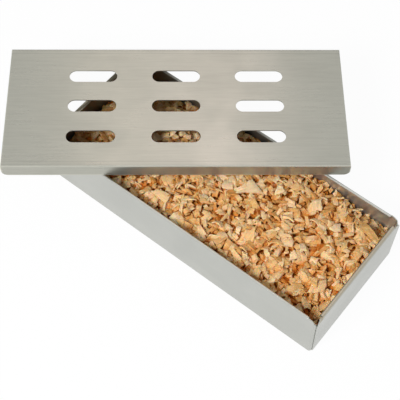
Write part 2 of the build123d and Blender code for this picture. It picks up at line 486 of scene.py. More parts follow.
        # Painted shade along the tray, and painted light in the corners.
        gain = graph.ramp(self.place[0], *finish.inner_span, *finish.inner_gain)
        reach = finish.corner_reach
        in_corner = 1.0
        for axis in range(2):
            inward = graph.math("SUBTRACT", self.corner[axis], graph.math("ABSOLUTE", self.place[axis]))
            close = graph.ramp(inward, finish.corner_core * reach, reach, 1.0, 0.0)
            in_corner = graph.times(close, in_corner)
        gain = graph.times(gain, graph.ramp(in_corner, start=1.0, end=finish.corner_gain))
        share = graph.math("LESS_THAN", facing, finish.inner_facing)
        return graph.math("MULTIPLY_ADD", share, graph.math("SUBTRACT", gain, 1.0), 1.0)


@dataclass(frozen=True)
class WoodFinish:
    """Raw split wood: the colours that chips vary between, and their fibres."""

    name: str
    dark: Triple
    middle: Triple
    pale: Triple
    fibre_shade: float
    fibre_size: float
    middle_tone: float = 0.45
    ring_shade: Pair = (0.94, 1.04)
    tone_shift: Triple = (0.1, 0.2, 0.3)
    # Painted shade: darker and warmer below the heap's level.
    deep_tint: Triple = (0.91, 0.54, 0.21)
    deep: float = 2.8 * MM
    bump_strength: float = 0.5
    bump_height: float = 0.15 * MM
    roughness: float = 0.78
    specular: float = 0.1
    glow_through: float = 0.5
    glow_colours: Triple = (1.0, 0.45, 0.18)
    glow_depth: float = 1.6 * MM

    def material(self) -> Material:
        """Make the material.

        Light that gets down between the chips has passed from chip to chip, so it is warmer there; this
        shade is painted into the base colour, darker and warmer below the heap's level.

        Returns:
            The material, which reads the attributes grain, tone and level of the chips' points.
        """
        material, graph, shader = new_material(self.name)
        grain = graph.add("ShaderNodeAttribute", attribute_name="grain").outputs["Vector"]
        tone = graph.add("ShaderNodeAttribute", attribute_name="tone").outputs["Fac"]
        level = graph.add("ShaderNodeAttribute", attribute_name="level").outputs["Fac"]
        place = graph.parts(graph.add("ShaderNodeTexCoord").outputs["Object"])
        shifted = graph.vector_math("ADD", grain, graph.scaled(self.tone_shift, tone))
        fibres, rings = graph.use(wood_grain(), {"Vector": shifted, "Fibre": self.fibre_size})
        colours = graph.add("ShaderNodeValToRGB", {"Fac": tone})
        stops = colours.color_ramp.elements
        stops[0].color = (*self.dark, 1)
        stops[1].color = (*self.pale, 1)
        stops.new(self.middle_tone).color = (*self.middle, 1)
        shade = graph.ramp(fibres, start=1 - self.fibre_shade, end=1 + self.fibre_shade / 2)
        shade = graph.times(shade, graph.ramp(rings, 0.0, 1.0, *self.ring_shade))
        plain = graph.scaled(colours.outputs[0], graph.grey(shade))
        # Painted shade between the chips, by depth below the heap's level.
        depth = graph.ramp(graph.math("SUBTRACT", level, place[2]), 0.0, self.deep)
        bump = {"Strength": self.bump_strength, "Distance": self.bump_height, "Height": fibres}
        surface = {
            "Base Color": graph.scaled(plain, graph.blend_colours(depth, WHITE, self.deep_tint)),
            "Normal": graph.add("ShaderNodeBump", bump).outputs[0],
            "Roughness": self.roughness,
            "Specular IOR Level": self.specular,
            "Subsurface Weight": self.glow_through,
            "Subsurface Radius": self.glow_colours,
            "Subsurface Scale": self.glow_depth,
        }
        graph.feed(shader.inputs, surface)
        return material


@dataclass(frozen=True)
class PhotoCamera:
    """Camera that sees the box as the photograph does."""

    position: Triple = (-24.79 * MM, -344.95 * MM, 582.23 * MM)
    look_down: float = math.radians(58.746)
    turn_left: float = math.radians(-2.142)
    roll: float = math.radians(1.744)
    focal_length: float = 95.83
    sensor_width: float = 36.0
    nearest: float = 0.01

    def build(self) -> None:
        """Add the camera and make it the scene's own."""
        data = bpy.data.cameras.new("photo_camera")
        data.lens = self.focal_length
        data.sensor_width = self.sensor_width
        data.sensor_fit = "HORIZONTAL"
        data.clip_start = self.nearest
        camera = put_in_scene("photo_camera", data)
        level = Matrix.Rotation(self.turn_left, 4, "Z")
        aim = level @ Matrix.Rotation(math.pi / 2 - self.look_down, 4, "X")
        camera.matrix_world = Matrix.Translation(self.position) @ aim @ Matrix.Rotation(self.roll, 4, "Z")
        bpy.context.scene.camera = camera


@dataclass(frozen=True)
class Softbox:
    """Oblong lamp that faces a point of the box, and lights it or shows in its steel, or both."""

    name: str
    position: Triple
    target: Triple
    size: Pair
    watts: float
    colour: Triple = WHITE
    lights: bool = True
    mirrored: bool = True

    def build(self) -> None:
        """Add the lamp."""
        data = bpy.data.lights.new(self.name, "AREA")
        data.shape = "RECTANGLE"
        data.size, data.size_y = self.size
        data.energy = self.watts
        data.color = self.colour
        lamp = put_in_scene(self.name, data)
        toward = Vector(self.target) - Vector(self.position)
        turned = toward.to_track_quat("-Z", "Y").to_matrix().to_4x4()
        lamp.matrix_world = Matrix.Translation(self.position) @ turned
        lamp.visible_diffuse = self.lights
        lamp.visible_glossy = self.mirrored


@dataclass
class Studio:
    """White floor, even white surroundings and soft lamps."""

    floor_half: float = 3.0
    floor_colour: Triple = (0.9, 0.9, 0.9)
    fill_level: float = 0.3
    shadow_share: float = 0.04
    mirrored_depth: float = 2.5
    softboxes: tuple[Softbox, ...] = (
        Softbox("key", (-0.62, -0.68, 0.93), (0, 0, 0.03), (0.45, 0.45), 15.5, mirrored=False),
        Softbox("window", (1.0, -0.5, 0.7), (0, 0, 0.03), (0.6, 0.6), 2.5, (0.72, 0.86, 1), mirrored=False),
        Softbox("glow", (0.05, 0.85, 1.65), (0, 0.05, 0.05), (0.2, 1), 1, (1, 0.78, 0.74), lights=False),
        Softbox("sheen", (-0.16, 0.95, 1.65), (0, 0.05, 0.05), (0.12, 1), 0.5, (1, 0.8, 0.7), lights=False),
    )
    card_size: Pair = (3.0, 0.55)
    card_distance: float = 1.3
    card_grey: float = 0.1
    bounces: int = 10

    def build(self) -> None:
        """Add the floor, the world and the lamps, and set how colours are shown."""
        scene = bpy.context.scene
        scene.view_settings.view_transform = "Standard"
        scene.cycles.max_bounces = self.bounces
        scene.cycles.diffuse_bounces = self.bounces
        scene.world = self._world()
        self._floor()
        self._dark_card()
        for softbox in self.softboxes:
            softbox.build()

    def _seen_directly(self, graph: Graph) -> Socket:
        """Tell the rays that are to see plain white from those that light the box.

        Args:
            graph: the graph of the floor's material or of the world.

        Returns:
            1 for rays from the camera, through glass or mirrored before mirrored_depth, 0 for others.
        """
        path = graph.add("ShaderNodeLightPath").outputs
        early = graph.math("LESS_THAN", path["Ray Depth"], self.mirrored_depth)
        mirrored = graph.times(path["Is Glossy Ray"], early)
        either = graph.math("MAXIMUM", path["Is Camera Ray"], mirrored)
        return graph.math("MAXIMUM", either, path["Is Transmission Ray"])

    def _world(self) -> bpy.types.World:
        """Make the surroundings.

        Returns:
            The world, which looks white and lights the box at the fill level.
        """
        world = bpy.data.worlds.new("surroundings")
        graph = blank_graph(world)
        seen = self._seen_directly(graph)
        level = graph.math("MULTIPLY_ADD", seen, 1 - self.fill_level, self.fill_level)
        background = graph.add("ShaderNodeBackground", {"Color": (*WHITE, 1), "Strength": level})
        graph.add("ShaderNodeOutputWorld", {"Surface": background.outputs[0]})
        return world

    def _panel(self, name: str, corners: Sequence[Triple]) -> tuple[Object, Graph]:
        """Make a flat panel with an empty material.

        Args:
            name: name of the panel and its material.
            corners: its four corners in order.

        Returns:
            The panel, and the graph of its material.
        """
        mesh = bpy.data.meshes.new(name)
        mesh.from_pydata(corners, [], [(0, 1, 2, 3)])
        mesh.materials.append(bpy.data.materials.new(name))
        return put_in_scene(name, mesh), blank_graph(mesh.materials[0])

    def _floor(self) -> Object:
        """Make the floor.

        Returns:
            The plain floor, which looks white and still takes a faint shadow.
        """
        half = self.floor_half
        corners = ((-half, -half, 0), (half, -half, 0), (half, half, 0), (-half, half, 0))
        floor, graph = self._panel("floor", corners)
        paint = graph.add("ShaderNodeBsdfDiffuse", {"Color": (*self.floor_colour, 1)})
        white = graph.add("ShaderNodeEmission", {"Color": (*WHITE, 1), "Strength": 1.0})
        share = graph.times(self._seen_directly(graph), 1 - self.shadow_share)
        mixed = graph.add("ShaderNodeMixShader", {0: share, 1: paint.outputs[0], 2: white.outputs[0]})
        graph.add("ShaderNodeOutputMaterial", {"Surface": mixed.outputs[0]})
        return floor

    def _dark_card(self) -> Object:
        """Make the dark card behind the box.

        Returns:
            The card, which only the steel shows, as a line along its back folds.
        """
        half, back, top = self.card_size[0] / 2, self.card_distance, self.card_size[1]
        corners = ((-half, back, 0), (half, back, 0), (half, back, top), (-half, back, top))
        card, graph = self._panel("dark_card", corners)
        colour = (self.card_grey, self.card_grey, self.card_grey, 1)
        emission = graph.add("ShaderNodeEmission", {"Color": colour, "Strength": 1.0})
        graph.add("ShaderNodeOutputMaterial", {"Surface": emission.outputs[0]})
        card.visible_camera = False
        card.visible_diffuse = False
        card.visible_shadow = False
        return card


@dataclass(frozen=True)
class Dip:
    """Hollow in the chips, or a mound where its depth is negative. Lengths are millimetres."""

    middle: Pair
    depth: float
    reach: Pair

    def at(self, x: float, y: float) -> float:
        """How far the surface lies lower at a point, all in metres."""
        along = (x / MM - self.middle[0]) / self.reach[0]
        across = (y / MM - self.middle[1]) / self.reach[1]
        return self.depth * MM * math.exp(-along * along - across * across)


@dataclass(frozen=True)
class Heap:
    """Surface of the chips in the tray's own axes: nearly flat, with dips, and lower at the left end."""

    half_length: float
    half_width: float
    floor: float
    level: float
    left_end_dip: float = 13.0 * MM
    left_dip_reach: float = 75.0 * MM
    dips: tuple[Dip, ...] = (
        Dip((99, -41), 4.5, (36, 26)),
        Dip((99, 41), 9.0, (45, 9)),
        Dip((-55, 41), 7.0, (40, 24)),
        Dip((-43, 10), -5.2, (17, 11)),
        Dip((-61, 24), -5.0, (13, 10)),
    )
    swell: float = 2.2 * MM
    swell_size: float = 14.0 * MM

    def height(self, x: float, y: float) -> float:
        """Level of the heap at a point, without its unevenness.

        Args:
            x: the point's place along the tray.
            y: its place across the tray.

        Returns:
            The height above the ground.
        """
        fallen = min(max((self.left_dip_reach - self.half_length - x) / self.left_dip_reach, 0.0), 1.0)
        left = self.left_end_dip * fallen * fallen * (3 - 2 * fallen)
        return self.level - left - sum(dip.at(x, y) for dip in self.dips)

    def grid(self, name: str, cell: float, drop: float, past: float = 0.0) -> Mesh:
        """Sheet over the whole heap, which swells and sinks a little.

        Args:
            name: the mesh's name.
            cell: size of one face.
            drop: how far below the heap's level it lies.
            past: how far it reaches past the walls.

        Returns:
            The mesh, in the tray's own axes.
        """
        half_length = self.half_length + past
        half_width = self.half_width + past
        columns = round(2 * half_length / cell)
        rows = round(2 * half_width / cell)
        points = []
        for row in range(rows + 1):
            y = half_width * (2 * row / rows - 1)
            for column in range(columns + 1):
                x = half_length * (2 * column / columns - 1)
                uneven = self.swell * noise.noise(Vector((x, y, 0)) / self.swell_size)
                points.append((x, y, self.height(x, y) + uneven - drop))
        faces = []
        for row in range(rows):
            for column in range(columns):
                first = row * (columns + 1) + column
                faces.append((first, first + 1, first + columns + 2, first + columns + 1))
        mesh = bpy.data.meshes.new(name)
        mesh.from_pydata(points, [], faces)
        return mesh


def close_down_to(mesh: Mesh, level: float) -> None:
    """Turn an open sheet into a closed block with upright sides and a flat underside.

    Args:
        mesh: the sheet, which faces up.
        level: height of the underside.
    """
    block = bmesh.new()
    block.from_mesh(mesh)
    rim = [edge for edge in block.edges if edge.is_boundary]
    sides = bmesh.ops.extrude_edge_only(block, edges=rim)["geom"]
    lower = {item for item in sides if isinstance(item, bmesh.types.BMVert)}
    for vertex in lower:
        vertex.co.z = level
    loop = [edge for edge in block.edges if lower.issuperset(edge.verts)]
    bmesh.ops.edgeloop_fill(block, edges=loop)
    bmesh.ops.recalc_face_normals(block, faces=block.faces)
    block.to_mesh(mesh)
    block.free()


@dataclass(frozen=True)
class ChipForm:
    """What one kind of wood chip looks like, and how many of them lie in the tray.

    Lengths are millimetres and angles are degrees. The layer is the range of depths in the heap.
    """

    count: int
    spacing: float
    layer: Pair
    tone: Pair
    length: Pair
    width: Pair
    thickness: Pair
    curl: Pair
    steps: int
    strands: int
    lean: float
    twist: float = 20.0
    taper: Pair = (-0.4, 0.4)
    ragged: float = 0.2
    slant: float = 0.7


class ChipKind(Enum):
    """The kinds of wood chips, each named after the CAD node that its pile stands for."""

    FLAKES = ChipForm(
        430, 5.2, (0.2, 2.0), (0.35, 1.0), (4.5, 8.5), (3.0, 5.6), (0.8, 1.8), (5.0, 60.0), 3, 2, 32.0
    )
    SHAVINGS = ChipForm(
        350, 5.0, (0.2, 2.2), (0.3, 0.95), (5.5, 10.5), (2.2, 4.0), (0.5, 0.9), (90.0, 260.0), 8, 2, 50.0
    )
    SPLINTERS = ChipForm(
        900, 2.8, (0.0, 3.2), (0.1, 0.9), (3.5, 8.5), (1.0, 2.2), (0.8, 1.8), (0.0, 35.0), 3, 1, 35.0
    )
    CHUNKS = ChipForm(
        3300, 1.4, (0.6, 4.6), (0.0, 0.9), (2.0, 4.8), (1.6, 3.5), (1.0, 2.4), (0.0, 20.0), 2, 2, 45.0
    )

    @property
    def node(self) -> str:
        """Name of the CAD node with this kind of chips."""
        return self.name.lower()


@dataclass(frozen=True)
class PickedChip:
    """A chip that stands out in the photograph, laid on the heap at a listed place.

    Lengths are millimetres and angles are degrees, in the tray's own axes.
    """

    place: Pair
    turn: float
    size: Triple
    curl: float = 20.0
    lift: float = 0.6
    tip: float = 0.0
    taper: float = 0.2
    tone: float = 0.95

    def form(self) -> ChipForm:
        """The chip as a form with little left to chance: its twist, its cup and its uneven edges."""
        fixed = {name: (value, value) for name, value in zip(("length", "width", "thickness"), self.size)}
        for name in ("curl", "taper", "tone"):
            value = getattr(self, name)
            fixed[name] = (value, value)
        return ChipForm(
            count=1, spacing=0, layer=(0, 0), steps=6, strands=2, lean=0, twist=10.0, slant=0.6, **fixed
        )


PICKED_CHIPS = (
    PickedChip((15, 7), 56, (14.5, 6.5, 1.4), curl=15, taper=0.7),
    PickedChip((4, 2), -52, (8.0, 5.5, 1.5), tip=15),
    PickedChip((31, 19), -54, (6.0, 4.5, 1.2), taper=0.4),
    PickedChip((38, 27), 52, (7.0, 4.5, 1.5), tone=0.55),
    PickedChip((55, 24), -53, (7.4, 6.0, 1.4), curl=30, taper=0.0, tone=0.85),
    PickedChip((73, 19), -74, (7.5, 4.5, 1.3), tip=20, taper=0.5),
    PickedChip((64, -13), 68, (5.5, 4.5, 1.6), lift=1.2),
    PickedChip((56, -8), 49, (7.5, 4.5, 1.5), taper=0.5, tone=0.9),
    PickedChip((-23, -29), 2, (11.0, 5.0, 1.2), curl=35, taper=0.4, tone=0.75),
    PickedChip((91, 28), -18, (16.5, 4.5, 0.9), curl=60, lift=1.0, taper=-0.3, tone=0.35),
    PickedChip((63, 37), -48, (12.0, 3.0, 1.2), tip=62, lift=3.9, tone=0.8),
    PickedChip((75, 37), -37, (14.0, 3.5, 1.2), tip=60, lift=4.6, tone=0.85),
    PickedChip((-8, -27), -64, (16.0, 1.8, 0.9), curl=70, lift=1.2, tone=0.8),
    PickedChip((65, -5), -47, (8.5, 3.4, 1.0), curl=50, tip=30, lift=1.5),
    PickedChip((-66, 21), 25, (6.0, 3.5, 1.3), tip=20, lift=2.0, tone=0.6),
    PickedChip((-61, 25), 80, (6.5, 3.5, 1.3), tip=-15, lift=2.5, tone=0.65),
    PickedChip((-56, 29), -15, (6.0, 3.0, 1.3), tip=20, lift=2.0, tone=0.6),
    PickedChip((-13, 36), 30, (6.0, 3.5, 1.3), tip=20, lift=1.5, tone=0.7),
    PickedChip((-9, 38), 95, (5.5, 3.0, 1.3), tip=-15, lift=1.5, tone=0.75),
    PickedChip((-52, 2), -30, (6.5, 4.5, 1.3), tip=12, lift=2.0, tone=0.9),
    PickedChip((-47, 5), 39, (5.5, 2.8, 1.2), tip=25, lift=2.5, tone=0.85),
    PickedChip((-44, 9), 110, (5.0, 3.0, 1.2), lift=2.5, tone=0.95),
    PickedChip((-41, 7), -20, (6.0, 2.6, 1.2), tip=35, lift=3.0, tone=0.8),
    PickedChip((-39, 12), 75, (5.0, 3.2, 1.2), tip=-20, lift=2.5, tone=1.0),
    PickedChip((-35, 12), 0, (6.0, 2.6, 1.2), tip=30, lift=3.0, tone=0.9),
    PickedChip((-32, 16), 50, (5.5, 3.5, 1.2), lift=2.5, tone=1.0),
)


@dataclass
class ChipMaker:
    """Carves single wood chips: strips of split wood with torn ends, more or less curled.

    Places along and across a chip are shares of its length and width, from -END to END.
    """

    rng: random.Random
    cup: Pair = (-0.2, 0.3)
    edge_wave: float = 0.15
    narrowest: float = 0.12
    half_thickness: Pair = (0.35, 0.6)
    end_thinness: float = 0.45
    nearly_straight: float = 0.02

    END = 0.5

    def mesh(self, name: str, form: ChipForm) -> Mesh:
        """Make one chip round its own middle, with its fibres along X.

        Args:
            name: the mesh's name.
            form: the sizes that it varies within, in millimetres and degrees.

        Returns:
            The mesh, with the attribute grain on its points.
        """
        rng = self.rng
        length = rng.uniform(*form.length) * MM
        width = rng.uniform(*form.width) * MM
        thickness = rng.uniform(*form.thickness) * MM
        curl = math.radians(rng.uniform(*form.curl))
        twist = math.radians(rng.uniform(-form.twist, form.twist))
        taper = rng.uniform(*form.taper)
        cup = rng.uniform(*self.cup) * width
        slants = (rng.uniform(-form.slant, form.slant), rng.uniform(-form.slant, form.slant))
        upper, lower, grain = [], [], []
        for step in range(form.steps + 1):
            along = step / form.steps - self.END
            middle, forward, outward = self._bent(along, length, curl)
            side = Vector((0, 1, 0))
            side.rotate(Matrix.Rotation(twist * along, 3, forward))
            at_end = abs(along) == self.END
            for strand in range(form.strands + 1):
                across = strand / form.strands - self.END
                wave = rng.uniform(-self.edge_wave, self.edge_wave)
                spread = width * max(1 + 2 * taper * along + wave, self.narrowest)
                slant = slants[0] * (self.END - along) + slants[1] * (self.END + along)
                torn = rng.uniform(-1, 1) * form.ragged * width if at_end else 0.0
                arch = self.END * self.END - across * across
                point = middle + side * across * spread + outward * cup * arch
                point += forward * (across * width * slant + torn)
                thin = self.end_thinness if at_end else 1.0
                half = outward * thickness * thin * rng.uniform(*self.half_thickness)
                upper.append(point + half)
                lower.append(point - half)
                grain.append((along * length, across * spread, 0.0))
        mesh = bpy.data.meshes.new(name)
        mesh.from_pydata([*upper, *lower], [], self._faces(form))
        attribute = mesh.attributes.new("grain", "FLOAT_VECTOR", "POINT")
        for index, place in enumerate([*grain, *grain]):
            attribute.data[index].vector = place
        return mesh

    def _bent(self, along: float, length: float, curl: float) -> tuple[Vector, Vector, Vector]:
        """Bend the middle line of a chip to an arc.

        Args:
            along: share of the length from the middle.
            length: length of the chip.
            curl: angle of the whole arc.

        Returns:
            The point there, the direction of the line and its outward side.
        """
        angle = curl * along
        forward = Vector((math.cos(angle), 0, -math.sin(angle)))
        outward = Vector((math.sin(angle), 0, math.cos(angle)))
        if curl < self.nearly_straight:
            return Vector((along * length, 0, 0)), forward, outward
        radius = length / curl
        return outward * radius - Vector((0, 0, radius * math.cos(curl / 4))), forward, outward

    def _faces(self, form: ChipForm) -> list[tuple[int, ...]]:
        """Join the points of the upper and lower side to a closed skin.

        Args:
            form: the chip's form, for its number of steps and strands.

        Returns:
            The faces, by the numbers of their points.
        """
        row = form.strands + 1
        below = (form.steps + 1) * row
        faces = []
        for step in range(form.steps):
            for strand in range(form.strands):
                a = step * row + strand
                b = a + row
                faces.append((a, b, b + 1, a + 1))
                faces.append((below + a, below + a + 1, below + b + 1, below + b))
            a = step * row
            b = a + row
            faces.append((a, below + a, below + b, b))
            a, b = b + form.strands, a + form.strands
            faces.append((a, below + a, below + b, b))
        last = form.steps * row
        for a in range(form.strands):
            b = last + a
            faces.append((a, a + 1, below + a + 1, below + a))
            faces.append((b + 1, b, below + b, below + b + 1))
        return faces


def switched_on(sockets: Any, name: str) -> Socket:
    """The one of a node's sockets of that name that its settings leave on."""
    return next(socket for socket in sockets if socket.name == name and socket.enabled)


class PileTree:
    """Geometry Nodes that strew copies of a few chips over the heap and press them between the walls."""

    INPUTS = {
        "Heap": "Geometry",
        "Chips": "Collection",
        "Variants": "Int",
        "Density": "Float",
        "Spacing": "Float",
        "Shallowest": "Float",
        "Deepest": "Float",
        "Darkest": "Float",
        "Palest": "Float",
        "Lean": "Float",
        "Wall": "Vector",
        "Recess": "Vector",
        "Turn": "Float",
        "Seed": "Int",
        "Finish": "Material",
    }
    SCALES = (0.7, 1.35)

    def __init__(self) -> None:
        """Build the node tree with its named inputs."""
        self.tree = bpy.data.node_groups.new("strewn_chips", "GeometryNodeTree")
        interface = self.tree.interface
        self.sockets: dict[str, str] = {}
        for name, kind in self.INPUTS.items():
            socket = interface.new_socket(name, in_out="INPUT", socket_type=f"NodeSocket{kind}")
            self.sockets[name] = socket.identifier
        interface.new_socket("Pile", in_out="OUTPUT", socket_type="NodeSocketGeometry")
        graph = self.graph = Graph(self.tree)
        self.given = graph.add("NodeGroupInput").outputs
        self.draws = 0
        real = graph.add("GeometryNodeRealizeInstances", {"Geometry": self._strewn()}).outputs[0]
        turn = graph.vector(0.0, 0.0, self.given["Turn"])
        turned = graph.add("GeometryNodeTransform", {"Geometry": self._pressed(real), "Rotation": turn})
        dressing = {"Geometry": turned.outputs[0], "Material": self.given["Finish"]}
        finished = graph.add("GeometryNodeSetMaterial", dressing).outputs[0]
        graph.add("NodeGroupOutput", {0: finished})

    def _random(self, kind: str, low: Any, high: Any) -> Socket:
        """Draw a random value for each chip, each time with the next seed after the pile's own.

        Args:
            kind: type of the value, such as FLOAT.
            low: the lowest value.
            high: the highest value.

        Returns:
            The value.
        """
        self.draws += 1
        inputs = {0: self.given["Seed"], 1: self.draws}
        seed = self.graph.add("FunctionNodeIntegerMath", inputs, operation="ADD").outputs[0]
        node = self.graph.add("FunctionNodeRandomValue", {"Seed": seed}, data_type=kind)
        ends = [switched_on(node.inputs, name) for name in ("Min", "Max")]
        self.graph.feed(ends, {0: low, 1: high})
        return switched_on(node.outputs, "Value")

    def _stored(self, geometry: Socket, name: str, domain: str, value: Socket) -> Socket:
        """Store a number on a geometry under a name.

        Args:
            geometry: what it is stored on.
            name: the attribute's name.
            domain: POINT or INSTANCE.
            value: the number.

        Returns:
            The geometry with the attribute.
        """
        inputs = {"Geometry": geometry, "Name": name}
        node = self.graph.add("GeometryNodeStoreNamedAttribute", inputs, data_type="FLOAT", domain=domain)
        self.graph.feed([switched_on(node.inputs, "Value")], {0: value})
        return node.outputs[0]

    def _strewn(self) -> Socket:
        """Strew the chips over the heap.

        Returns:
            The chips, sunk, leaning and turned at random, each with its tone and the heap's level.
        """
        graph, given = self.graph, self.given
        scatter = {
            "Mesh": given["Heap"],
            "Distance Min": given["Spacing"],
            "Density Max": given["Density"],
            "Seed": given["Seed"],
        }
        points = graph.add("GeometryNodeDistributePointsOnFaces", scatter, distribute_method="POISSON")
        height = graph.parts(graph.add("GeometryNodeInputPosition").outputs[0])[2]
        spots = self._stored(points.outputs["Points"], "level", "POINT", height)
        drop = self._random("FLOAT", given["Shallowest"], given["Deepest"])
        below = graph.vector(0.0, 0.0, graph.times(drop, -1.0))
        sunk = graph.add("GeometryNodeSetPosition", {"Geometry": spots, "Offset": below}).outputs[0]
        lean = given["Lean"]
        back = graph.times(lean, -1.0)
        last = {0: given["Variants"], 1: 1}
        shapes = {"Collection": given["Chips"], "Separate Children": True, "Reset Children": True}
        placing = {
            "Points": sunk,
            "Instance": graph.add("GeometryNodeCollectionInfo", shapes).outputs[0],
            "Pick Instance": True,
            "Instance Index": self._random(
                "INT", 0, graph.add("FunctionNodeIntegerMath", last, operation="SUBTRACT").outputs[0]
            ),
            "Rotation": self._random(
                "FLOAT_VECTOR", graph.vector(back, back, 0.0), graph.vector(lean, lean, 2 * math.pi)
            ),
            "Scale": self._random("FLOAT", *self.SCALES),
        }
        placed = graph.add("GeometryNodeInstanceOnPoints", placing).outputs[0]
        tone = self._random("FLOAT", given["Darkest"], given["Palest"])
        return self._stored(placed, "tone", "INSTANCE", tone)

    def _pressed(self, chips: Socket) -> Socket:
        """Press the chips below the top and between the walls.

        Args:
            chips: the chips as real geometry.

        Returns:
            The chips, which reach further out below the rims.
        """
        graph = self.graph
        wall = graph.parts(self.given["Wall"])
        recess = graph.parts(self.given["Recess"])
        place = graph.parts(graph.add("GeometryNodeInputPosition").outputs[0])
        below_rim = graph.math("LESS_THAN", place[2], recess[2])
        kept = []
        for axis in range(2):
            high = graph.math("MULTIPLY_ADD", below_rim, recess[axis], wall[axis])
            low = graph.times(high, -1.0)
            kept.append(graph.math("MINIMUM", graph.math("MAXIMUM", place[axis], low), high))
        kept.append(graph.math("MINIMUM", place[2], wall[2]))
        pressing = {"Geometry": chips, "Position": graph.vector(*kept)}
        return graph.add("GeometryNodeSetPosition", pressing).outputs[0]


CHIP_WOOD = WoodFinish(
    name="raw_wood_chips",
    dark=(0.58, 0.27, 0.072),
    middle=(0.77, 0.45, 0.18),
    pale=(0.94, 0.67, 0.40),
    fibre_shade=0.12,
    fibre_size=0.4 * MM,
)
# Darker than the chips: the crumbs' own colour, and also painted shade for the gaps between the loose
# chips.
CRUMB_WOOD = WoodFinish(
    name="wood_crumbs",
    dark=(0.38, 0.17, 0.036),
    middle=(0.50, 0.25, 0.066),
    pale=(0.62, 0.34, 0.11),
    fibre_shade=0.4,
    fibre_size=0.6 * MM,
)


